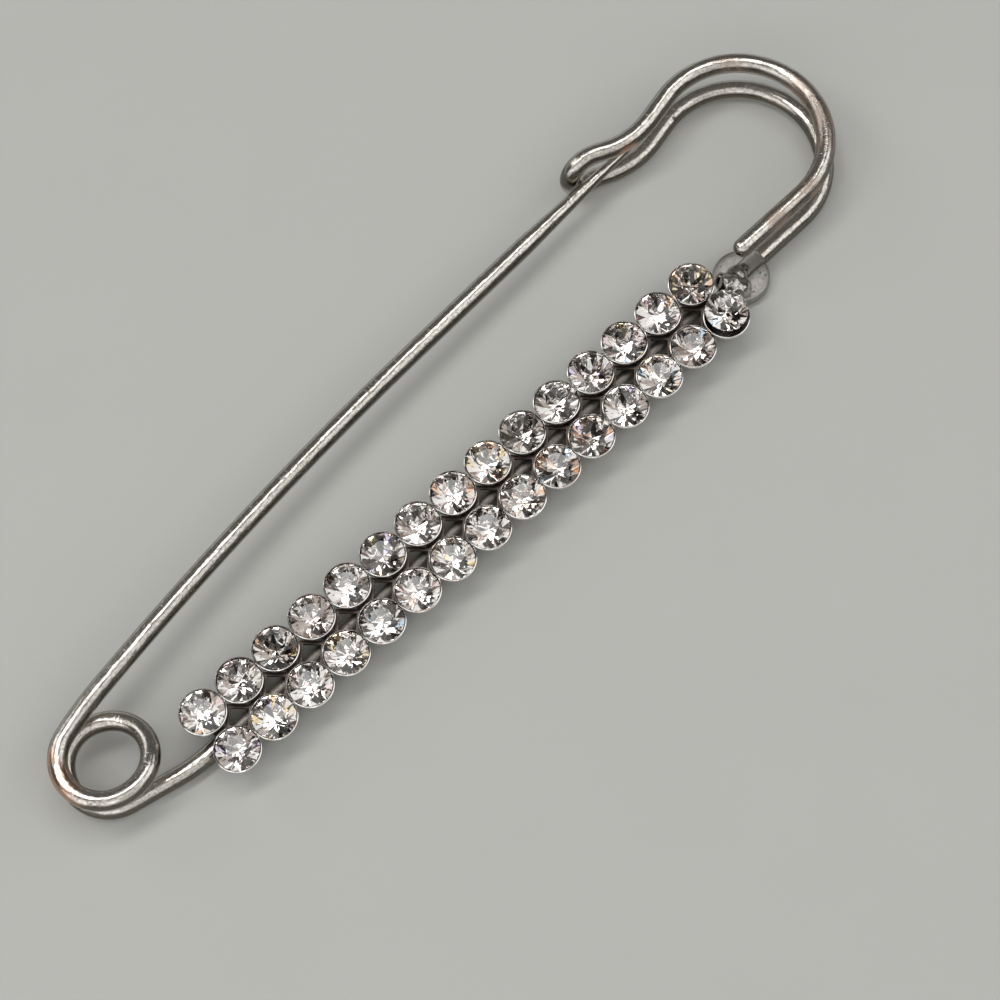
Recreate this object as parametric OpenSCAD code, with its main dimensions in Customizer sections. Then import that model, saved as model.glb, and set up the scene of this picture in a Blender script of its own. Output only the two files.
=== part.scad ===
/* [Wire] */
// Diameter of the spring wire that the whole pin is bent from
wire_d = 1.5; // [1.3:0.05:1.55]
// Straight stretch in the middle of the pin arm
arm_straight = 11; // [8:0.1:13]
// Length of the ground taper that ends in the point
taper_length = 16.1; // [12:0.1:18]
// Diameter of the blunted point
point_d = 0.3; // [0.2:0.05:0.5]

/* [Coil] */
// Radius of the coil, to the middle of the wire
coil_r = 3.25; // [3.1:0.05:3.4]
// Height of the coil's top turn above its bottom turn, middle to middle
coil_rise = 3.15; // [3.1:0.05:3.4]
// How much smaller the radius of the coil's lower half turn is
coil_tuck = 0.1; // [0:0.05:0.15]
// Slit inside the coil, between the wire that turns and the wire that stands
coil_slit = 0.1; // [0.05:0.05:0.3]

/* [Crook] */
// Radius of the crook, to the middle of the wire
crook_r = 6.67; // [6.3:0.01:6.9]
// Height of the upper crook wire above the lower one, middle to middle
crook_rise = 3.4; // [3.3:0.05:3.6]
// Length of the fixed arm, from its bend near the coil to the crook
fixed_arm = 61; // [60.5:0.1:62.5]
// Radius of the solder pad under the end of the stone strip
pad_r = 2.2; // [1.8:0.1:2.4]

/* [Stone strip] */
// Stones in one row
stones = 15; // [13:1:15]
// Spacing of the stones along a row
pitch = 3.5; // [3.47:0.01:3.52]
// Spacing of the two rows
row_gap = 3.81; // [3.75:0.01:3.9]
// Diameter of a stone at its girdle
stone_d = 3.3; // [2.9:0.05:3.3]
// Outer diameter of a cup
cup_d = 3.56; // [3.54:0.01:3.6]
// Height of the cups' rims above the table
rim_z = 3.05; // [2.95:0.05:3.15]

/* [Hidden] */
$fn = 48;

// A step of wire this much thicker takes in the ends of the steps beside it
hair = 0.01;
let_in = 5 * hair;

wire_r = wire_d / 2;
low_z = wire_r + hair;
high_z = low_z + crook_rise;
mid_z = low_z + crook_rise / 2;
coil_top_z = low_z + coil_rise;

// Plan places are measured from under the first pair of stones, along the strip
coil_x = -7.42;
coil_y = 3.98;
slit_angle = 257.3;
arm_heading = 18;

// Columns of a step: length fed straight, bend radius, turn to the left, roll before it
FEED = 0;
RADIUS = 1;
TURN = 2;
ROLL = 3;

// The pin arm from the slit in the coil to the start of its taper
arm_length = 66.5;
arm_fall = asin((coil_top_z - mid_z) / arm_length);
coil_exit = 8;
fall_roll = atan(arm_fall / coil_exit);
arm_steps = [
    [0, coil_r, arm_heading + 90 - slit_angle, 0],
    [0, 30, -coil_exit, fall_roll],
    [0, 310, -6.6, -fall_roll],
    [arm_straight, 0, 0, 0]
];

// The standing wire from the slit, down the coil, along the fixed arm, round
// the crook, over the hairpin and back round the crook to its blunt end
low_coil_r = coil_r - coil_tuck;
upper_roll = asin(coil_rise / 4 / coil_r);
lower_roll = asin(coil_rise / 4 / low_coil_r);
hairpin_lean = 95.5;
crook_turn = 192.2;
frame_steps = [
    [0, coil_r, 180, -upper_roll],
    [0, low_coil_r, 180, -upper_roll - lower_roll],
    [3.9, 0, 0, -lower_roll],
    [0, 12, 13.5, 0],
    [fixed_arm, 0, 0, 0],
    [0, crook_r, crook_turn, 0],
    [2.05, 0, 0, 0],
    [0, 6.8, -38, 0],
    [0.6, 0, 0, 0],
    [0, 3, 17, 0],
    [0, crook_rise / 2, 180, hairpin_lean],
    [0, 3, -17, hairpin_lean],
    [0.6, 0, 0, 0],
    [0, 6.8, 38, 0],
    [2.25, 0, 0, 0],
    [0, crook_r, -crook_turn, 0],
    [6.3, 0, 0, 0]
];
LOWER_CROOK = 5;
HAIRPIN = 10;
UPPER_CROOK = 15;

// The wire's top is filed flat from the end of the strip to the crook
seat_z = 1.25;
seat_from = 49.6;
seat_to = 55.05;

// Cups of the strip: a narrow foot, a wall that flares to the lip, and a straight lip
cup_floor_z = 1.2;
cup_floor = 0.3;
foot_r = 1.2;
hollow_foot_r = 1.15;
lip_h = 0.35;
cup_h = rim_z - cup_floor_z;
cup_r = cup_d / 2;
bore_r = stone_d / 2 + 0.03;
row_y = row_gap / 2;

// Webs from row to row over the wire, and the pierced plates between four cups
web_w = 0.9;
web_h = 1.25;
web_end = 1;
plate_z = 2.1;
plate_h = 0.3;
hole_w = 1.35;

// Solder at the head end of the strip
pad_x = 52.95;
pad_y = 0.42;
pad_z = 0.15;
pad_top_z = 1.05;
pad_edge = 0.25;
solder_x = 51.8;
solder_z = 1.35;
solder_r = 0.95;

// Cut of a stone
SIDES = 16;
table_r = 0.25 * stone_d;
star_r = 0.39 * stone_d;
girdle_r = stone_d / 2;
crown_h = 0.65;
star_h = 0.42;
girdle_h = 0.1;
lower_r = 0.25 * stone_d;
lower_h = 0.8;
pavilion_h = 1.3;
girdle_z = rim_z - 0.05;
loose_shift = [0.2, 0.23, 0.5];
loose_lean = 7;

function place(p, h) = [p, [cos(h), sin(h), 0], [-sin(h), cos(h), 0], [0, 0, 1]];
function rolled(f, a) =
    [f[0], f[1], f[2] * cos(a) + f[3] * sin(a), f[3] * cos(a) - f[2] * sin(a)];
function fed(f, l) = [f[0] + l * f[1], f[1], f[2], f[3]];
function bent(f, r, a) = let (s = sign(a), c = abs(a)) [
    f[0] + r * sin(c) * f[1] + s * r * (1 - cos(c)) * f[2],
    cos(c) * f[1] + s * sin(c) * f[2],
    cos(c) * f[2] - s * sin(c) * f[1],
    f[3]
];
function after(f, step) = let (g = rolled(f, step[ROLL]))
    step[RADIUS] == 0 ? fed(g, step[FEED]) : bent(g, step[RADIUS], step[TURN]);
function along(f, steps, n) = n == 0 ? f : after(along(f, steps, n - 1), steps[n - 1]);

slit_point = [
    coil_x + coil_r * cos(slit_angle),
    coil_y + coil_r * sin(slit_angle),
    coil_top_z
];
arm_start = fed(place(slit_point, slit_angle - 90), coil_slit / 2);
frame_start = fed(place(slit_point, slit_angle + 90), coil_slit / 2);
lower_crook = along(frame_start, frame_steps, LOWER_CROOK);
upper_crook = along(frame_start, frame_steps, UPPER_CROOK);
lower_crook_centre = lower_crook[0] + crook_r * lower_crook[2];
upper_crook_centre = upper_crook[0] - crook_r * upper_crook[2];
hairpin = rolled(along(frame_start, frame_steps, HAIRPIN), hairpin_lean);
hairpin_centre = hairpin[0] + crook_rise / 2 * hairpin[2];

// The whole brooch is centred over the origin
left_x = coil_x - coil_r - wire_r - hair;
right_x = max(lower_crook_centre.x, upper_crook_centre.x) + crook_r + wire_r;
front_y = -row_y - cup_r;
back_y = hairpin_centre.y + crook_rise / 2 * norm([hairpin[1].y, hairpin[2].y]) + wire_r + hair;
centre = [(left_x + right_x) / 2, (front_y + back_y) / 2, 0];

STONE_NODES = [for (row = ["left", "right"]) for (i = [1 : stones]) str("stone_", row, "_", i)];

module at(f) {
    multmatrix([
        [f[1].x, f[2].x, f[3].x, f[0].x],
        [f[1].y, f[2].y, f[3].y, f[0].y],
        [f[1].z, f[2].z, f[3].z, f[0].z],
        [0, 0, 0, 1]
    ])
        children();
}

module straight_wire(l, r, more) {
    translate([-more, 0, 0])
        rotate([0, 90, 0])
            cylinder(h = l + 2 * more, r = r);
}

module bent_wire(bend_r, a, r, more) {
    extra = more / bend_r * 180 / PI;
    rotate([a < 0 ? 180 : 0, 0, 0])
        translate([0, bend_r, 0])
            rotate([0, 0, -90 - extra])
                rotate_extrude(angle = abs(a) + 2 * extra)
                    translate([bend_r, 0])
                        circle(r = r);
}

// Every second step is plain wire, let into the slightly thicker ones
module wire_run(start, steps) {
    for (i = [0 : len(steps) - 1]) {
        plain = i % 2 == 1;
        r = plain ? wire_r : wire_r + hair;
        more = plain ? let_in : 0;
        at(rolled(along(start, steps, i), steps[i][ROLL])) {
            if (steps[i][RADIUS] == 0) straight_wire(steps[i][FEED], r, more);
            else bent_wire(steps[i][RADIUS], steps[i][TURN], r, more);
        }
    }
}

module pin_arm() {
    color("silver")
        translate(-centre) {
            wire_run(arm_start, arm_steps);
            at(fed(along(arm_start, arm_steps, len(arm_steps)), -let_in))
                rotate([0, 90, 0])
                    cylinder(h = taper_length + let_in, r1 = wire_r - hair, r2 = point_d / 2);
        }
}

module standing_wire() {
    difference() {
        wire_run(frame_start, frame_steps);
        translate([seat_from, pad_y - pad_r, seat_z])
            cube([seat_to - seat_from, 2 * pad_r, wire_d]);
    }
    at(fed(along(frame_start, frame_steps, len(frame_steps)), -let_in))
        sphere(r = wire_r);
}

module cup_body() {
    rotate_extrude()
        polygon([[0, 0], [foot_r, 0], [cup_r, cup_h - lip_h], [cup_r, cup_h], [0, cup_h]]);
}

module cup_hollow() {
    rotate_extrude()
        polygon([
            [0, cup_floor],
            [hollow_foot_r, cup_floor],
            [bore_r, cup_h - lip_h - 0.05],
            [bore_r, cup_h + 1],
            [0, cup_h + 1]
        ]);
}

module pierced_plate() {
    linear_extrude(plate_h)
        difference() {
            polygon([[-pitch / 2, 0], [0, -row_y], [pitch / 2, 0], [0, row_y]]);
            rotate(45)
                square(hole_w, center = true);
        }
}

module cup_strip() {
    difference() {
        union() {
            for (i = [0 : stones - 1], side = [-1, 1])
                translate([i * pitch, side * row_y, cup_floor_z])
                    cup_body();
            for (i = [0 : stones - 1])
                translate([i * pitch - web_w / 2, -row_y + web_end, cup_floor_z])
                    cube([web_w, row_gap - 2 * web_end, web_h]);
            for (i = [0 : stones - 2])
                translate([(i + 0.5) * pitch, 0, plate_z])
                    pierced_plate();
        }
        for (i = [0 : stones - 1], side = [-1, 1])
            translate([i * pitch, side * row_y, cup_floor_z])
                cup_hollow();
    }
}

module solder() {
    translate([pad_x, pad_y, pad_z])
        cylinder(h = pad_top_z - pad_z - pad_edge, r = pad_r);
    translate([pad_x, pad_y, pad_top_z - pad_edge])
        cylinder(h = pad_edge, r1 = pad_r, r2 = pad_r - pad_edge);
    translate([solder_x, 0, solder_z])
        sphere(r = solder_r);
}

module frame_with_cups() {
    color("gainsboro")
        translate(-centre) {
            standing_wire();
            cup_strip();
            solder();
        }
}

function ring(r, z, n, turn) = [for (i = [0 : n - 1])
    [r * cos(360 * i / n + turn), r * sin(360 * i / n + turn), z]];

// Round brilliant: table, star and kite facets, girdle, long lower facets, point
module cut_stone() {
    half = SIDES / 2;
    table = 0;
    star = table + half;
    upper = star + half;
    lower = upper + SIDES;
    belly = lower + SIDES;
    tip = belly + half;
    points = concat(
        ring(table_r, crown_h, half, 0),
        ring(star_r, star_h, half, 180 / half),
        ring(girdle_r, 0, SIDES, 0),
        ring(girdle_r, -girdle_h, SIDES, 0),
        ring(lower_r, -girdle_h - lower_h, half, 180 / half),
        [[0, 0, -girdle_h - pavilion_h]]
    );
    faces = concat(
        [[for (i = [half - 1 : -1 : 0]) table + i]],
        [for (i = [0 : half - 1]) let (
            next = (i + 1) % half,
            corner = upper + 2 * i,
            middle = corner + 1,
            far = upper + (2 * i + 2) % SIDES
        ) each [
            [table + i, table + next, star + i],
            [table + i, star + i, corner],
            [star + i, middle, corner],
            [star + i, far, middle],
            [star + i, table + next, far]
        ]],
        [for (i = [0 : SIDES - 1]) let (next = (i + 1) % SIDES) each [
            [upper + i, upper + next, lower + i],
            [upper + next, lower + next, lower + i]
        ]],
        [for (i = [0 : half - 1]) let (
            corner = lower + 2 * i,
            middle = corner + 1,
            far = lower + (2 * i + 2) % SIDES,
            next = (i + 1) % half
        ) each [
            [corner, middle, belly + i],
            [middle, far, belly + i],
            [belly + i, far, belly + next],
            [belly + i, belly + next, tip]
        ]]
    );
    polyhedron(points = points, faces = faces);
}

// The last stone at the head has worked loose: it stands up and leans, a little off its cup
module stone(row, i) {
    side = row == "left" ? 1 : -1;
    loose = row == "right" && i == stones;
    color("white")
        translate(-centre)
            translate([(i - 1) * pitch, side * row_y, girdle_z] + (loose ? loose_shift : [0, 0, 0]))
                rotate([loose ? loose_lean : 0, 0, 0])
                    cut_stone();
}

pin_arm();
frame_with_cups();
for (row = ["left", "right"], i = [1 : stones])
    stone(row, i);
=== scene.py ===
import math
import random

import bmesh
import bpy
from mathutils import Matrix, Vector, noise


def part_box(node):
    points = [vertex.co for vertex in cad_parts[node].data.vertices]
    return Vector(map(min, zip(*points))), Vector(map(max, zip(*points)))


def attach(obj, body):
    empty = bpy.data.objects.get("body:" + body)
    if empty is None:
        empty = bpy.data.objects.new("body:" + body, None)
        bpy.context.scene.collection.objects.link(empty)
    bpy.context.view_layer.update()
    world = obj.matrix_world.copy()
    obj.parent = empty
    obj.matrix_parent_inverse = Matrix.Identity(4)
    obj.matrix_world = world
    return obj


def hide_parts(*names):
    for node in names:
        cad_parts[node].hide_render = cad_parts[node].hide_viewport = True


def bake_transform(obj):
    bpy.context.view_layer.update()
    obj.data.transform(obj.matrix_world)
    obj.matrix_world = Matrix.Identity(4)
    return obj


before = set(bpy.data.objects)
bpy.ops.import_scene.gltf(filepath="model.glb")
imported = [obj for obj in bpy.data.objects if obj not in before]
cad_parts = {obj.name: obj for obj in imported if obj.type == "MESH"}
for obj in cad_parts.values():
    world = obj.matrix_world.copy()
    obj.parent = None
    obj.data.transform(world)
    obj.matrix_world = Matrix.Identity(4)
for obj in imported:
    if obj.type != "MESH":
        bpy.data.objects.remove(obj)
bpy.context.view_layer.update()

# The camera looks down on the brooch from its near left side, turned so that the strip of
# stones runs up to the right. It is a long lens, a little over 20 cm away.
MM = 0.001


def middle(node):
    low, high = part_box(node)
    return (low + high) / 2


# Places are measured from under the first pair of stones, as the strip is laid out.
strip_origin = (middle("stone_left_1") + middle("stone_right_1")) / 2
strip_origin.z = 0


def on_strip(x, y, z=0.0):
    """A place in the row frame from millimetres along, across and above the strip's start."""
    return strip_origin + Vector((x, y, z)) * MM


camera_turn = math.radians(37.783)
camera_tilt = math.radians(21.5)
camera_roll = math.radians(5.593)
camera_stand = Vector((19.972, 17.610, 217.837))
camera_aim = (
    Matrix.Rotation(-camera_turn, 3, "Z")
    @ Matrix.Rotation(camera_tilt, 3, "X")
    @ Matrix.Rotation(-camera_roll, 3, "Z")
)
camera = bpy.data.objects.new("camera", bpy.data.cameras.new("camera"))
camera.data.lens = 108
camera.data.sensor_width = 36
camera.data.clip_start, camera.data.clip_end = 0.01, 10
camera.location = on_strip(*(camera_aim @ camera_stand))
camera.rotation_euler = camera_aim.to_euler()
bpy.context.scene.collection.objects.link(camera)
bpy.context.scene.camera = camera
bpy.context.scene.view_settings.view_transform = "Standard"


# The brooch was photographed on a sheet of pale grey card, matt and very slightly mottled.
# It is one wide flat sheet, and isn't part of the brooch.
class Shade:
    """A socket of a shader. Arithmetic on it adds Math nodes."""

    def __init__(self, tree, socket):
        self.tree = tree
        self.socket = socket

    def math(self, operation, *others):
        node = self.tree.nodes.new("ShaderNodeMath")
        node.operation = operation
        for socket, value in zip(node.inputs, (self, *others)):
            plug(self.tree, socket, value)
        return Shade(self.tree, node.outputs[0])

    def __add__(self, other):
        return self.math("ADD", other)

    def __radd__(self, other):
        return self.math("ADD", other)

    def __mul__(self, other):
        return self.math("MULTIPLY", other)

    def __rmul__(self, other):
        return self.math("MULTIPLY", other)

    def __sub__(self, other):
        return self.math("SUBTRACT", other)

    def __rsub__(self, other):
        return (-1 * self).math("ADD", other)

    def smooth(self, low, high):
        """0 below low, 1 above high, or the reverse, and smooth between."""
        node = self.tree.nodes.new("ShaderNodeMapRange")
        node.interpolation_type = "SMOOTHSTEP"
        falling = high < low
        values = (self, min(low, high), max(low, high), float(falling), float(not falling))
        for socket, value in zip(node.inputs, values):
            plug(self.tree, socket, value)
        return Shade(self.tree, node.outputs[0])


def plug(tree, socket, value):
    """Links a Shade to a socket, or sets the socket to a plain value."""
    if isinstance(value, Shade):
        tree.links.new(value.socket, socket)
    else:
        socket.default_value = value


class Finish:
    """The nodes of one material, or of the world."""

    def __init__(self, owner):
        owner.use_nodes = True
        self.owner = owner
        self.tree = owner.node_tree
        self.tree.nodes.clear()

    def node(self, kind, settings=None, sockets=None, output=0):
        """Adds a node, plugs its sockets and gives one of its outputs."""
        made = self.tree.nodes.new(kind)
        for name, value in (settings or {}).items():
            setattr(made, name, value)
        for key, value in (sockets or {}).items():
            plug(self.tree, made.inputs[key], value)
        return Shade(self.tree, made.outputs[output] if made.outputs else None)

    def mix(self, share, low, high):
        """A colour between low and high, each a Shade or its red, green and blue."""
        low, high = (c if isinstance(c, Shade) else (*c, 1) for c in (low, high))
        # The colours of a Mix node are its sockets 6 and 7, and its output 2.
        return self.node("ShaderNodeMix", {"data_type": "RGBA"}, {0: share, 6: low, 7: high}, 2)

    def scaled(self, vector, amounts):
        """A vector times three numbers."""
        return self.node("ShaderNodeVectorMath", {"operation": "MULTIPLY"}, {0: vector, 1: amounts})

    def noise(self, vector, scale, detail=2.0, roughness=0.5):
        sockets = {"Vector": vector, "Scale": scale, "Detail": detail, "Roughness": roughness}
        return self.node("ShaderNodeTexNoise", {}, sockets)

    def place(self):
        """A place on the brooch in metres."""
        return self.node("ShaderNodeTexCoord", output="Object")

    def strip_place(self):
        """A place on the brooch in millimetres from the strip's start, and its x, y and z."""
        ends = {0: self.place(), 1: strip_origin}
        place = self.node("ShaderNodeVectorMath", {"operation": "SUBTRACT"}, ends)
        place = self.scaled(place, (1 / MM, 1 / MM, 1 / MM))
        apart = self.node("ShaderNodeSeparateXYZ", {}, {0: place}).socket.node.outputs
        return place, *(Shade(self.tree, apart[axis]) for axis in "XYZ")

    def spot(self, place, centre, radius):
        """1 near a centre and 0 beyond the radius."""
        ends = {0: place, 1: centre}
        away = self.node("ShaderNodeVectorMath", {"operation": "DISTANCE"}, ends, "Value")
        return away.smooth(radius, radius * 0.45)

    def bump(self, strength, depth, height):
        """A bumped normal. The depth is in metres."""
        sockets = {"Strength": strength, "Distance": depth, "Height": height}
        return self.node("ShaderNodeBump", {}, sockets)

    def surface(self, sockets):
        shader = self.node("ShaderNodeBsdfPrincipled", {}, sockets)
        self.node("ShaderNodeOutputMaterial", {}, {"Surface": shader})


card = Finish(bpy.data.materials.new("pale_card"))
card_place = card.place()
card_mottle = card.noise(card_place, 90, 3)
card_colour = card.mix(card_mottle, (0.498, 0.500, 0.478), (0.516, 0.518, 0.495))
card_grain = card.noise(card_place, 2500, 2)
card_bump = card.bump(0.05, 0.04 * MM, card_grain)
card.surface({"Base Color": card_colour, "Roughness": 0.85, "Normal": card_bump})

FLOOR_REACH = 4
floor_mesh = bpy.data.meshes.new("floor")
floor = bpy.data.objects.new("floor", floor_mesh)
floor_form = bmesh.new()
bmesh.ops.create_grid(floor_form, x_segments=8, y_segments=8, size=FLOOR_REACH)
floor_form.to_mesh(floor_mesh)
floor_form.free()
floor.location.z = -0.02 * MM
floor_mesh.materials.append(card.owner)
bpy.context.scene.collection.objects.link(floor)

# The light is a long lamp on the ceiling with a short one beside it, two soft lights over and
# beside the camera, a small lamp between them, and one light at each end of the strip.
towards_camera = camera_aim @ Vector((0, 0, 1))
window_side = (camera_aim @ Vector((-0.62, 1, 0))).normalized()
beside = towards_camera.cross(window_side).normalized()

room = Finish(bpy.data.worlds.new("room"))
room_way = room.node("ShaderNodeTexCoord", output="Generated")
room_ways = {0: room_way, 1: window_side}
room_side = room.node("ShaderNodeVectorMath", {"operation": "DOT_PRODUCT"}, room_ways, "Value")
room_height = room.node("ShaderNodeSeparateXYZ", {}, {0: room_way}, "Z")
low_wall = 0.16 * room_height.smooth(0.22, 0.04)
room_light = 0.06 + low_wall + 0.08 * room_side.smooth(-0.1, 0.9)
room_sockets = {"Color": (1, 0.99, 0.97, 1), "Strength": room_light}
room_shader = room.node("ShaderNodeBackground", {}, room_sockets)
room.node("ShaderNodeOutputWorld", {}, {"Surface": room_shader})
bpy.context.scene.world = room.owner


LAMPS_AWAY = 0.6
warm_white = (1.0, 0.995, 0.985)
cool_white = (0.99, 0.995, 1.0)


def softbox(name, lean, aside, size, brightness, colour):
    """A soft light, lean degrees from over the camera towards the window, and aside degrees."""
    direction = (
        towards_camera * math.cos(math.radians(lean))
        + window_side * math.sin(math.radians(lean))
        + beside * math.tan(math.radians(aside))
    ).normalized()
    across = beside.cross(direction).normalized()
    light = bpy.data.lights.new(name, "AREA")
    light.shape = "RECTANGLE"
    light.size, light.size_y = size
    light.energy = brightness * math.pi * size[0] * size[1]
    light.color = colour
    lamp = bpy.data.objects.new(name, light)
    turn = Matrix((across.cross(direction), across, direction)).transposed().to_4x4()
    lamp.matrix_world = Matrix.Translation(direction * LAMPS_AWAY) @ turn
    bpy.context.scene.collection.objects.link(lamp)


softbox("ceiling_lamp", 34, 0, (0.80, 0.14), 4.9, warm_white)
softbox("overhead", -4, 0, (0.85, 0.30), 0.85, warm_white)
softbox("low_fill", -36, 0, (0.85, 0.32), 0.72, (1.0, 0.99, 0.98))
softbox("small_lamp", -25, 12, (0.20, 0.09), 1.6, (1.0, 0.995, 0.98))
softbox("side_lamp", 66, 22, (0.22, 0.30), 1.7, warm_white)
softbox("coil_end", -8, 52, (0.42, 0.42), 1.30, cool_white)
softbox("head_end", -8, -52, (0.42, 0.42), 1.30, cool_white)

# The standing wire is hard steel wire, bent in one piece and plated: down the coil, along
# under the strip, with its top filed flat past the strip's end, round the crook, over the
# hairpin that guards the point, and back round the crook to its blunt end.
WIRE_R = 0.75
RING_SPACING = 0.16
WIRE_SIDES = 32
SHARP = math.radians(32)
coil_centre = (-7.42, 3.98)
coil_r = 3.25
coil_tuck = 0.1
coil_rise = 3.15
table_z = 0.76
coil_top_z = table_z + coil_rise
crook_r = 6.67
crook_rise = 3.4
crook_turn = 192.2
slit_angle = 257.3
slit = 0.1
seat_z = 1.25
seat_ends = (49.6, 55.05)


def heading(place, degrees):
    """The start of a wire: its place, and the directions ahead, to the left and up."""
    turn = math.radians(degrees)
    ahead = Vector((math.cos(turn), math.sin(turn), 0))
    return place, ahead, Vector((-ahead.y, ahead.x, 0)), Vector((0, 0, 1))


def bend_wire(start, steps):
    """Rings along a wire that is fed, bent and rolled, in millimetres and degrees.

    A step is the length fed, or 0 and the radius and turn of a bend, and the roll before it.
    A ring is its place, the way ahead, a direction across the wire that never twists, and
    the length of wire so far. Each step gives a list of its own, so a wire can be cut."""
    place, ahead, left, up = start
    across = left.copy()
    length = 0
    runs = []
    for feed, radius, turn, roll in steps:
        tip = math.radians(roll)
        left, up = (
            left * math.cos(tip) + up * math.sin(tip),
            up * math.cos(tip) - left * math.sin(tip),
        )
        step_length = feed or radius * math.radians(abs(turn))
        count = max(2, math.ceil(step_length / RING_SPACING))
        centre = place + left * math.copysign(radius, turn)
        run = [(place, ahead, across, length)]
        for n in range(1, count + 1):
            share = n / count
            spin = Matrix.Rotation(math.radians(turn) * share, 3, up)
            if feed:
                moved = place + ahead * feed * share
            else:
                moved = centre + spin @ (place - centre)
            run.append((moved, spin @ ahead, spin @ across, length + step_length * share))
        left = spin @ left
        place, ahead, across = run[-1][:3]
        length += step_length
        runs.append(run)
    return runs


def joined(runs):
    """The rings of several steps in a row, without the doubled ones where they meet."""
    rings = list(runs[0])
    for run in runs[1:]:
        rings += run[1:]
    return rings


def add_piece(name, form, material, body, node):
    """A finished mesh, in place, riding on its body if one is given."""
    mesh = bpy.data.meshes.new(name)
    bmesh.ops.recalc_face_normals(form, faces=form.faces)
    for edge in form.edges:
        edge.smooth = len(edge.link_faces) < 2 or edge.calc_face_angle(0) < SHARP
    form.to_mesh(mesh)
    form.free()
    mesh.materials.append(material)
    piece = bpy.data.objects.new(name, mesh)
    bpy.context.scene.collection.objects.link(piece)
    if body:
        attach(piece, body)
    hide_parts(node)
    return piece


def wire_form(rings, radius_at, way=1):
    """A closed tube round the rings, with its far end rounded.

    Its points remember where they lie on the straight wire, way times the length."""
    stations = [(*ring, radius_at(ring[-1])) for ring in rings]
    place, ahead, across, length, radius = stations[-1]
    for degrees in (20, 40, 58, 72, 82, 88):
        angle = math.radians(degrees)
        reach, thinner = radius * math.sin(angle), radius * math.cos(angle)
        stations.append((place + ahead * reach, ahead, across, length + reach, thinner))
    form = bmesh.new()
    straight = form.verts.layers.float_vector.new("straight")
    loops = []
    for place, ahead, across, length, radius in stations:
        beyond = ahead.cross(across)
        loop = []
        for k in range(WIRE_SIDES):
            angle = 2 * math.pi * k / WIRE_SIDES
            y, z = radius * math.cos(angle), radius * math.sin(angle)
            vertex = form.verts.new(place + across * y + beyond * z)
            vertex[straight] = Vector((length * way, y, z * way))
            loop.append(vertex)
        loops.append(loop)
    for a, b in zip(loops, loops[1:]):
        for k in range(WIRE_SIDES):
            nxt = (k + 1) % WIRE_SIDES
            form.faces.new((a[k], a[nxt], b[nxt], b[k])).smooth = True
    for loop in (loops[0][::-1], loops[-1]):
        form.faces.new([form.verts.new(vertex.co) for vertex in loop])
    return form


def settle(form):
    """Moves a form from strip millimetres into the row frame."""
    for vertex in form.verts:
        vertex.co = on_strip(*vertex.co)


slit_turn = math.radians(slit_angle)
slit_place = Vector((
    coil_centre[0] + coil_r * math.cos(slit_turn),
    coil_centre[1] + coil_r * math.sin(slit_turn),
    coil_top_z,
))


def leaving_slit(degrees):
    """The start of a wire that heads away from the slit, on its own side of it."""
    place, ahead, left, up = heading(slit_place, degrees)
    return place + ahead * slit / 2, ahead, left, up


def over_slit(rings):
    """The rings of a wire with one more in the middle of the slit, where the two wires meet."""
    place, ahead, across, length = rings[0]
    return [(place - ahead * slit / 2, ahead, across, length - slit / 2), *rings]


low_coil_r = coil_r - coil_tuck
upper_roll = math.degrees(math.asin(coil_rise / 4 / coil_r))
lower_roll = math.degrees(math.asin(coil_rise / 4 / low_coil_r))
hairpin_lean = 95.5
standing_runs = bend_wire(leaving_slit(slit_angle + 90), [
    # Down the coil and out of it.
    (0, coil_r, 180, -upper_roll),
    (0, low_coil_r, 180, -upper_roll - lower_roll),
    (3.9, 0, 0, -lower_roll),
    # The fixed arm and the crook.
    (0, 12, 13.5, 0),
    (61.0, 0, 0, 0),
    (0, crook_r, crook_turn, 0),
    # Over to the hairpin, round it and back.
    (2.05, 0, 0, 0),
    (0, 6.8, -38, 0),
    (0.6, 0, 0, 0),
    (0, 3, 17, 0),
    (0, crook_rise / 2, 180, hairpin_lean),
    (0, 3, -17, hairpin_lean),
    (0.6, 0, 0, 0),
    (0, 6.8, 38, 0),
    (2.25, 0, 0, 0),
    # Round the crook again to the blunt end.
    (0, crook_r, -crook_turn, 0),
    (6.3, 0, 0, 0),
])
# The fixed arm and the crook are steps 3 to 5. These are the lengths of wire at their ends.
fixed_arm = (standing_runs[3][0][-1], standing_runs[5][-1][-1])
standing_rings = over_slit(joined(standing_runs))
standing_form = wire_form(standing_rings, lambda length: WIRE_R)
straight = standing_form.verts.layers.float_vector["straight"]
# Two rings are moved to the ends of the filed flat, and the points between are cut down to it.
for vertex in standing_form.verts:
    if not fixed_arm[0] < vertex[straight].x < fixed_arm[1]:
        continue
    for end in seat_ends:
        if abs(vertex.co.x - end) < RING_SPACING:
            vertex.co.x = end + math.copysign(0.01, vertex.co.x - end)
    if seat_ends[0] < vertex.co.x < seat_ends[1]:
        vertex.co.z = min(vertex.co.z, seat_z)
settle(standing_form)
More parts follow.
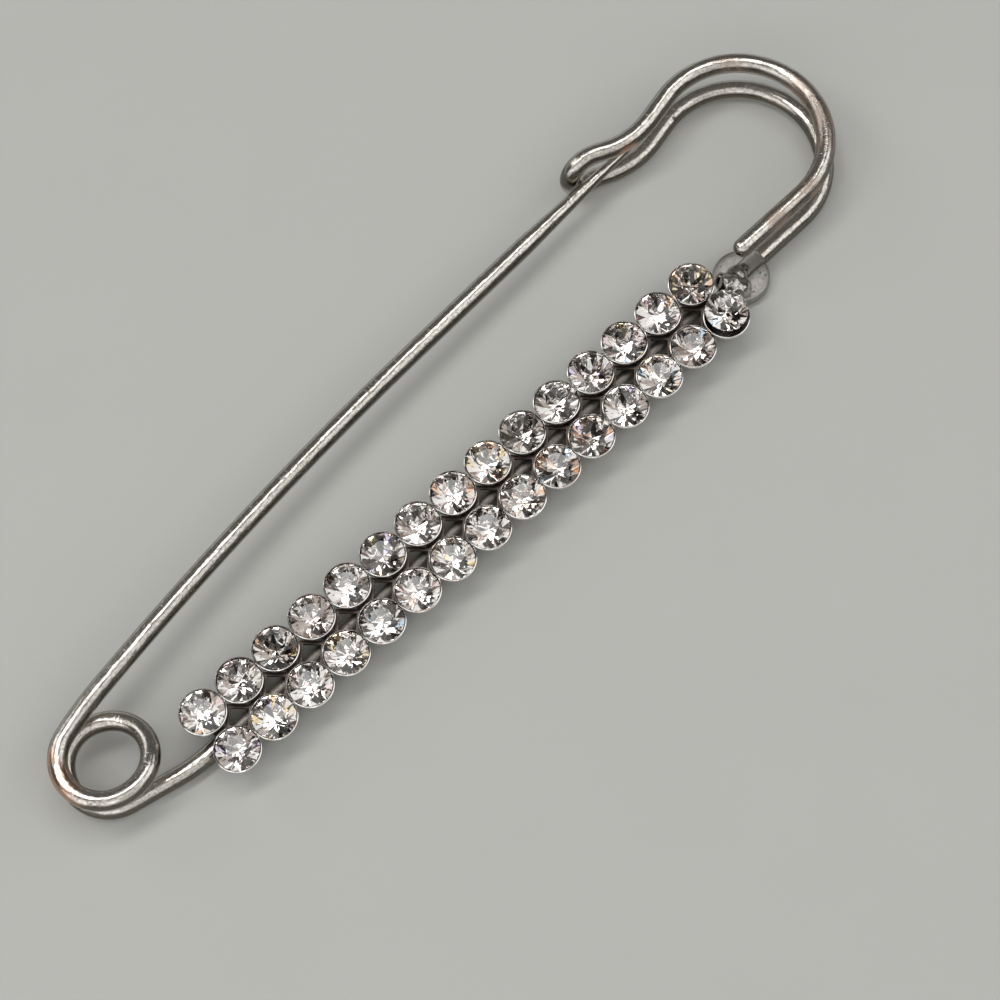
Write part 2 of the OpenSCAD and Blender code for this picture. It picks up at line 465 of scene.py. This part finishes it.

# Its plating is worn to a coppery tint where the wire is touched most, with a few dark nicks.
# Its flanks and the wire under the stones are painted dark as shade; it is dull on the filed flat.
plated = Finish(bpy.data.materials.new("plated_wire"))
on_wire = plated.node("ShaderNodeAttribute", {"attribute_name": "straight"}, {}, "Vector")
wire_place, wire_x, wire_y, wire_z = plated.strip_place()
drawing_lines = plated.noise(plated.scaled(on_wire, (0.35, 9, 9)), 1.0, 3, 0.6)
speckle = plated.noise(plated.scaled(on_wire, (5, 6, 6)), 1.0, 4, 0.7)
waves = plated.noise(plated.scaled(on_wire, (0.9, 1.6, 1.6)), 1.0, 2)
ticks = plated.noise(plated.scaled(on_wire, (7, 1.1, 1.1)), 1.0, 1).smooth(0.66, 0.76)
rubbed = plated.noise(wire_place, 0.9, 3, 0.6).smooth(0.28, 0.55)
coppery = 0
for centre, radius in (
    ((-10.5, 7.1, 4.0), 1.6), ((-11.1, 5.3, 4.0), 2.0), ((-11.1, 3.5, 3.8), 1.7),
    ((53.0, 12.5, 4.2), 1.2),
):
    coppery = coppery + plated.spot(wire_place, centre, radius)
coppery = (coppery * rubbed).math("MINIMUM", 1.0)
brown = 0
for centre, radius in (
    ((64.9, 3.6, 4.4), 2.6), ((66.2, 6.9, 4.4), 2.6), ((64.1, 12.8, 4.4), 1.8),
    ((56.9, 0.9, 4.4), 1.5), ((60.0, 1.3, 4.4), 2.2),
):
    brown = brown + plated.spot(wire_place, centre, radius)
brown = (brown * rubbed).math("MINIMUM", 1.0)
pits = speckle.smooth(0.64, 0.74)
for centre, radius in (
    ((-10.3, 6.85, 3.7), 0.2), ((-11.1, 5.7, 3.5), 0.26), ((-11.45, 4.45, 3.6), 0.24),
    ((-11.0, 2.4, 3.2), 0.2), ((58.55, 13.6, 1.3), 0.24),
):
    pits = pits + plated.spot(wire_place, centre, radius)
near = 0.005
filed = wire_z.smooth(seat_z - 3 * near, seat_z - near)
filed = filed * wire_z.smooth(seat_z + 3 * near, seat_z + near)
filed = filed * wire_x.smooth(seat_ends[0] - 0.1, seat_ends[0])
filed = filed * wire_x.smooth(seat_ends[1] + 0.15, seat_ends[1]) * wire_y.smooth(2, 1.8)
# Painted shade: under the strip the wire is painted darker, as the stones' shade, and made rougher.
painted_shade_under_stones = wire_x.smooth(-1.0, 0.6) * wire_x.smooth(50.0, 49.2) * wire_y.smooth(1.6, 1.2)
wire_turn = plated.node("ShaderNodeNewGeometry", output="Normal")
facing_up = plated.node("ShaderNodeSeparateXYZ", {}, {0: wire_turn}, "Z")
# Painted shade: where its surface faces sideways, the wire's flanks are painted dark.
painted_flank_shade = facing_up.smooth(0.78, 0.5) * facing_up.smooth(-0.1, 0.2)
plated_colour = plated.mix(speckle.smooth(0.35, 0.75), (0.66, 0.628, 0.58), (0.41, 0.375, 0.33))
for share, colour in (
    (painted_flank_shade * 0.85, (0.10, 0.087, 0.066)),
    (coppery * 0.85, (0.62, 0.40, 0.295)),
    (brown * 0.8, (0.38, 0.30, 0.25)),
    (painted_shade_under_stones * 0.85, (0.20, 0.18, 0.16)),
    (filed, (0.44, 0.43, 0.40)),
    (pits.math("MINIMUM", 0.85), (0.05, 0.045, 0.04)),
):
    plated_colour = plated.mix(share, plated_colour, colour)
plated_rough = 0.09 + 0.12 * drawing_lines.smooth(0.35, 0.75) + 0.14 * speckle.smooth(0.5, 0.8)
plated_rough = plated_rough + 0.3 * filed + 0.35 * painted_shade_under_stones + 0.16 * brown
plated_height = drawing_lines * 0.45 + speckle * 0.55 + waves * 1.6 - ticks * 0.5
plated.surface({
    "Base Color": plated_colour,
    "Metallic": 1.0,
    "Roughness": plated_rough,
    "Normal": plated.bump(0.8, 0.03 * MM, plated_height),
})
FRAME_NODE = "frame_with_cups"
add_piece("standing_wire", standing_form, plated.owner, "frame", FRAME_NODE)

# The pin arm is the other end of the same wire. It leaves the coil's top turn, bows a little,
# and is ground to a long taper with a blunted point that lies inside the hairpin.
arm_length = 66.5
arm_heading = 18
coil_exit = 8
arm_fall = math.degrees(math.asin((coil_top_z - table_z - crook_rise / 2) / arm_length))
fall_roll = math.degrees(math.atan(arm_fall / coil_exit))
taper = 16.1
point_r = 0.15
arm_runs = bend_wire(leaving_slit(slit_angle - 90), [
    (0, coil_r, arm_heading + 90 - slit_angle, 0),
    (0, 30, -coil_exit, fall_roll),
    (0, 310, -6.6, -fall_roll),
    (11, 0, 0, 0),
    (taper, 0, 0, 0),
])
arm_rings = over_slit(joined(arm_runs))
# It is the same straight wire drawn the other way, so its lines run on across the slit.
arm_rings = [(place, ahead, -across, length) for place, ahead, across, length in arm_rings]
taper_start = arm_rings[-1][-1] - taper


def arm_radius(length):
    share = max(0.0, (length - taper_start) / taper)
    return WIRE_R + (point_r - WIRE_R) * share


arm_form = wire_form(arm_rings, arm_radius, way=-1)
settle(arm_form)
pin_wire = add_piece("pin_wire", arm_form, plated.owner, "", "pin_arm")
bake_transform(pin_wire)

# The strip is thirty thin brass cups, pressed and plated, with a turned rim round each stone.
# The cups touch along the rows, and small webs join the rows over the wire.
STONES = 15
pitch = 3.5
row_y = 1.905
cup_profile = [
    (0.0, 1.22), (1.10, 1.22), (1.20, 1.27), (1.29, 1.45), (1.50, 2.00), (1.66, 2.45),
    (1.745, 2.68), (1.775, 2.76), (1.775, 2.96), (1.765, 3.005), (1.705, 3.042), (1.692, 3.03),
    (1.688, 2.98), (1.685, 2.72), (1.65, 2.58), (1.42, 2.08), (1.20, 1.60), (1.08, 1.52),
    (0.0, 1.50),
]
CUP_SIDES = 56
web_low = Vector((-0.43, -0.52, 1.22))
web_high = Vector((0.43, 0.52, 2.42))


def turned(form, profile, sides, centre):
    """A closed turned form: the first and last points of the profile lie on its axis."""
    loops = []
    for radius, z in profile:
        if radius == 0:
            loops.append([form.verts.new(centre + Vector((0, 0, z)))])
            continue
        loops.append([
            form.verts.new(centre + Vector((
                radius * math.cos(2 * math.pi * k / sides),
                radius * math.sin(2 * math.pi * k / sides),
                z,
            )))
            for k in range(sides)
        ])
    for a, b in zip(loops, loops[1:]):
        for k in range(sides):
            nxt = (k + 1) % sides
            corners = [a[k % len(a)], a[nxt % len(a)], b[nxt % len(b)], b[k % len(b)]]
            face = form.faces.new(list(dict.fromkeys(corners)))
            face.smooth = True


def bar(form, low, high, bevel):
    """A small bar with bevelled edges, from its lowest corner to its highest."""
    made = bmesh.ops.create_cube(form, size=1)["verts"]
    for vertex in made:
        vertex.co = (low + high) / 2 + vertex.co * (high - low)
    edges = list(dict.fromkeys(edge for vertex in made for edge in vertex.link_edges))
    bmesh.ops.bevel(form, geom=edges, offset=bevel, segments=2, affect="EDGES")


def pierced_plate(form, x):
    """The plate between four cups, with a square hole that stands on its corner."""
    rim_x, rim_y, hole_r = 1.38, 1.36, 0.95
    outer = [(x + rim_x, 0), (x, rim_y), (x - rim_x, 0), (x, -rim_y)]
    hole = [(x + hole_r, 0), (x, hole_r), (x - hole_r, 0), (x, -hole_r)]
    rings = [
        [form.verts.new((*corner, z)) for corner in corners]
        for corners, z in ((outer, 2.12), (outer, 2.36), (hole, 2.38), (hole, 2.12))
    ]
    for a, b in zip(rings, rings[1:] + rings[:1]):
        for k in range(4):
            nxt = (k + 1) % 4
            form.faces.new((a[k], a[nxt], b[nxt], b[k]))


cups = bmesh.new()
for i in range(STONES):
    for side in (-1, 1):
        turned(cups, cup_profile, CUP_SIDES, Vector((i * pitch, side * row_y, 0)))
    here = Vector((i * pitch, 0, 0))
    bar(cups, here + web_low, here + web_high, 0.06)
for i in range(STONES - 1):
    pierced_plate(cups, (i + 0.5) * pitch)
settle(cups)

# The plating is bright on the lips and painted dark below them as shade, most of all down
# between the rows of cups, and pinkish in patches.
cup_metal = Finish(bpy.data.materials.new("cup_metal"))
cup_place, cup_x, cup_y, cup_z = cup_metal.strip_place()
cup_marks = cup_metal.noise(cup_place, 4, 3, 0.6)
cup_shade = cup_metal.noise(cup_place, 0.7, 2)
cup_colour = cup_metal.mix(cup_shade.smooth(0.5, 0.75), (0.82, 0.80, 0.77), (0.72, 0.58, 0.51))
between_rows = cup_y.math("ABSOLUTE").smooth(2.5, 1.6)
# Painted shade: below their lips the cups are painted dark, most of all between the rows.
cup_painted_shade = cup_z.smooth(2.9, 2.6) * (0.2 + 0.8 * between_rows)
cup_colour = cup_metal.mix(cup_painted_shade, cup_colour, (0.10, 0.082, 0.07))
cup_metal.surface({
    "Base Color": cup_colour,
    "Metallic": 1.0,
    "Roughness": 0.12 + 0.2 * cup_marks.smooth(0.4, 0.8) + 0.25 * cup_painted_shade,
    "Normal": cup_metal.bump(0.4, 0.03 * MM, cup_marks),
})
add_piece("cup_strip", cups, cup_metal.owner, "frame", FRAME_NODE)

# The strip is held at its head end with soft solder: a round grey pad that has run out flat
# under the wire, and shiny lumps between the wire and the last pair of cups.
pad_place = (52.95, 0.42)
pad_profile = [
    (0.0, 0.15), (2.05, 0.15), (2.17, 0.22), (2.2, 0.40), (2.2, 0.72), (2.16, 0.86),
    (2.05, 0.96), (1.9, 1.01), (1.5, 1.04), (0.9, 1.05), (0.0, 1.05),
]
pad = bmesh.new()
turned(pad, pad_profile, 72, Vector((*pad_place, 0)))
settle(pad)

solder = Finish(bpy.data.materials.new("solder"))
solder_place = solder.place()
solder_grain = solder.noise(solder_place, 2200, 4, 0.6)
solder_pits = solder.noise(solder_place, 5200, 1).smooth(0.68, 0.74)
grey_share = solder_grain.smooth(0.35, 0.7)
solder_colour = solder.mix(grey_share, (0.39, 0.39, 0.367), (0.345, 0.305, 0.283))
solder_colour = solder.mix(solder_pits, solder_colour, (0.10, 0.085, 0.075))
solder.surface({
    "Base Color": solder_colour,
    "Metallic": 0.9,
    "Roughness": 0.34 + 0.2 * solder_grain,
    "Normal": solder.bump(0.35, 0.04 * MM, solder_grain - solder_pits),
})
add_piece("solder_pad", pad, solder.owner, "frame", FRAME_NODE)

bright_solder = Finish(bpy.data.materials.new("bright_solder"))
bright_place = bright_solder.strip_place()[0]
bright_grain = bright_solder.noise(bright_place, 3, 3, 0.6)
bright_share = bright_grain.smooth(0.4, 0.7)
bright_solder.surface({
    "Base Color": bright_solder.mix(bright_share, (0.50, 0.48, 0.45), (0.16, 0.14, 0.12)),
    "Metallic": 1.0,
    "Roughness": 0.12 + 0.15 * bright_grain,
    "Normal": bright_solder.bump(0.5, 0.05 * MM, bright_grain),
})

# Each lump is its x, y and z and its radius.
lumps = [
    (51.5, 0.1, 1.6, 1.0), (52.4, 0.5, 1.45, 0.85), (52.0, -0.5, 1.4, 0.8),
    (53.2, 0.6, 1.2, 0.6), (51.4, 1.0, 1.45, 0.65), (51.1, -1.0, 1.9, 0.6),
]
lump_form = bmesh.new()
for x, y, z, radius in lumps:
    bmesh.ops.create_icosphere(
        lump_form, subdivisions=4, radius=radius, matrix=Matrix.Translation((x, y, z))
    )
for vertex in lump_form.verts:
    wobble = noise.noise(vertex.co * 1.6) * 0.16 + noise.noise(vertex.co * 5) * 0.03
    vertex.co += vertex.normal * wobble
settle(lump_form)
solder_lumps = add_piece(
    "solder_lumps", lump_form, bright_solder.owner, "frame", FRAME_NODE
)
remesh = solder_lumps.modifiers.new("fuse", "REMESH")
remesh.mode = "VOXEL"
remesh.voxel_size = 0.09 * MM
remesh.use_smooth_shade = True
smooth = solder_lumps.modifiers.new("soften", "SMOOTH")
smooth.iterations = 12

# Each stone is clear glass, round and machine cut, with a silvered back. It sits in its cup
# on the girdle, turned and leaning a little. The last one at the head has worked loose.
GIRDLE = 16
HALF = GIRDLE // 2
stone_r = 1.645
table_r = 0.83
crown_h = 0.65
star_r = 1.28
girdle_h = 0.08
pavilion_h = 1.3
lower_r = 0.55
girdle_z = 3.0
loose_shift = Vector((0.2, 0.23, 0.5))
loose_lean = 7
facet_edge = 0.03
stone_play = 2.2
PAINTED_FIRE_SHARE = 0.09
SHARE_SEEN = math.cos(math.pi / HALF)


def girdle_ring(radius, z, count, turn=0.0):
    """Places evenly round the stone's axis."""
    return [
        Vector((
            radius * math.cos(2 * math.pi * k / count + turn),
            radius * math.sin(2 * math.pi * k / count + turn),
            z,
        ))
        for k in range(count)
    ]


def cut_facets():
    """The facets of a round brilliant as lists of places: those of its clear top and girdle,
    and those of its back."""
    star_h = crown_h * (stone_r - star_r * SHARE_SEEN) / (stone_r - table_r)
    lower_z = -girdle_h - pavilion_h * (stone_r - lower_r * SHARE_SEEN) / stone_r
    table = girdle_ring(table_r, crown_h, HALF)
    star = girdle_ring(star_r, star_h, HALF, math.pi / HALF)
    upper = girdle_ring(stone_r, 0, GIRDLE)
    lower = girdle_ring(stone_r, -girdle_h, GIRDLE)
    belly = girdle_ring(lower_r, lower_z, HALF, math.pi / HALF)
    point = Vector((0, 0, -girdle_h - pavilion_h))
    crown = [table]
    back = []
    for i in range(HALF):
        nxt = (i + 1) % HALF
        corner, between, far = 2 * i, 2 * i + 1, (2 * i + 2) % GIRDLE
        crown.append([table[i], star[i], table[nxt]])
        crown.append([table[i], star[i - 1], upper[corner], star[i]])
        crown.append([star[i], upper[corner], upper[between]])
        crown.append([star[i], upper[between], upper[far]])
        back.append([lower[corner], lower[between], belly[i]])
        back.append([lower[between], lower[far], belly[i]])
        back.append([point, belly[i - 1], lower[corner], belly[i]])
    for k in range(GIRDLE):
        nxt = (k + 1) % GIRDLE
        crown.append([upper[k], lower[k], lower[nxt], upper[nxt]])
    return crown, back


glass = Finish(bpy.data.materials.new("clear_glass"))
glass_smear = glass.noise(glass.place(), 900, 2)
glass.surface({
    "Base Color": (0.985, 0.985, 0.985, 1),
    "Roughness": 0.01 + 0.03 * glass_smear.smooth(0.5, 0.8),
    "IOR": 1.56,
    "Transmission Weight": 1.0,
})
foil = Finish(bpy.data.materials.new("silvered_back"))
# The silvered back takes its colour from painted reflections, one for each facet.
foil_painted_light = foil.node("ShaderNodeAttribute", {"attribute_name": "painted_facet_light"}, {}, "Color")
foil.surface({"Base Color": foil_painted_light, "Metallic": 1.0, "Roughness": 0.03})

crown_facets, back_facets = cut_facets()
# A back facet is painted with a reflection, bright, half shaded or dark, and a few small ones
# with a colour of dispersed light.
painted_reflections = [(0.98, 0.96, 0.94), (0.50, 0.44, 0.41), (0.13, 0.115, 0.105)]
PAINTED_REFLECTION_WEIGHTS = (64, 22, 14)
painted_fire_tints = [
    (1.0, 0.82, 0.52), (1.0, 0.68, 0.50), (0.66, 0.84, 1.0),
    (0.84, 0.78, 1.0), (1.0, 0.90, 0.64), (0.98, 0.80, 0.82),
]
chance = random.Random(7)
for row, side in (("left", 1), ("right", -1)):
    for i in range(STONES):
        loose = row == "right" and i == STONES - 1
        tips = [math.radians(chance.uniform(-stone_play, stone_play)) for axis in "XY"]
        lean = Matrix.Rotation(tips[1], 4, "Y") @ Matrix.Rotation(tips[0], 4, "X")
        if loose:
            lean = Matrix.Rotation(math.radians(loose_lean), 4, "X")
        spin = Matrix.Rotation(chance.uniform(0, math.pi / 4), 4, "Z")
        seat = Vector((i * pitch, side * row_y, girdle_z)) + loose * loose_shift
        seat = Matrix.Translation(seat)
        form = bmesh.new()
        painted_light_layer = form.loops.layers.float_color.new("painted_facet_light")
        welded = {}
        for facets, material_index in ((crown_facets, 0), (back_facets, 1)):
            for facet in facets:
                corners = []
                for place in facet:
                    key = tuple(round(c, 5) for c in place)
                    if key not in welded:
                        welded[key] = form.verts.new(seat @ lean @ spin @ place)
                    corners.append(welded[key])
                face = form.faces.new(corners)
                face.material_index = material_index
                tint = chance.choices(painted_reflections, PAINTED_REFLECTION_WEIGHTS)[0]
                # Painted light: a few small back facets are given colours of dispersed light.
                if len(facet) == 3 and chance.random() < PAINTED_FIRE_SHARE:
                    tint = chance.choice(painted_fire_tints)
                for loop in face.loops:
                    loop[painted_light_layer] = (*tint, 1)
        backs = [face for face in form.faces if face.material_index == 1]
        # Painted shade: a thin dark line is painted round every back facet.
        edges = bmesh.ops.inset_individual(form, faces=backs, thickness=facet_edge)["faces"]
        for edge_face in edges:
            for loop in edge_face.loops:
                loop[painted_light_layer] = (0.05, 0.045, 0.04, 1)
        settle(form)
        name, node = f"chaton_{row}_{i + 1}", f"stone_{row}_{i + 1}"
        stone = add_piece(name, form, glass.owner, "frame", node)
        stone.data.materials.append(foil.owner)
